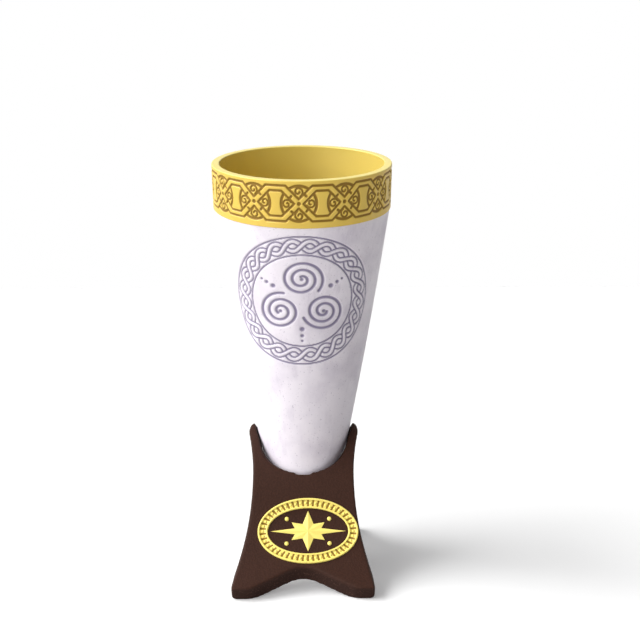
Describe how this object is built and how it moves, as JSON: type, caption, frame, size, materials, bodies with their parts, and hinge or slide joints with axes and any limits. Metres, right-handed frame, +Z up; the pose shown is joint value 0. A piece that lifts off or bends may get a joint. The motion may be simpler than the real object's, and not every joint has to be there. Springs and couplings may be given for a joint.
{
  "type": "drinking horn on a leather stand",
  "caption": "Pale drinking horn with an engraved gilt collar and a metal cup liner, standing upright in a bent leather saddle with a gilt oval badge.",
  "frame": {"origin": "centre of the whole object's box, on the floor under the stand's feet", "axes": "+Z up; the horn's mouth leans towards -Y, the front, where the badge is; +X to the right seen from the front"},
  "size_m": [0.084, 0.1168, 0.2129],
  "materials": {
    "horn": "satin, faintly mottled, bleached horn",
    "liner_gilt": "polished gilt",
    "collar_gilt": "satin gilt, engraved",
    "bedding": "matt bedding compound",
    "leather": "hardened leather, satin grain face and burnished edges",
    "badge_gilt": "polished gilt"
  },
  "bodies": {
    "stand": {"stand_saddle": "leather", "badge_border": "badge_gilt", "badge_motif": "badge_gilt"},
    "horn": {"horn_shell": "horn", "cup_liner": "liner_gilt", "rim_collar": "collar_gilt", "collar_bedding": "bedding"}
  },
  "joints": [
    {"name": "horn_lift", "type": "slide", "parent": "stand", "child": "horn", "axis": [0, 0, 1], "range_m": [0, 0.1]}
  ]
}
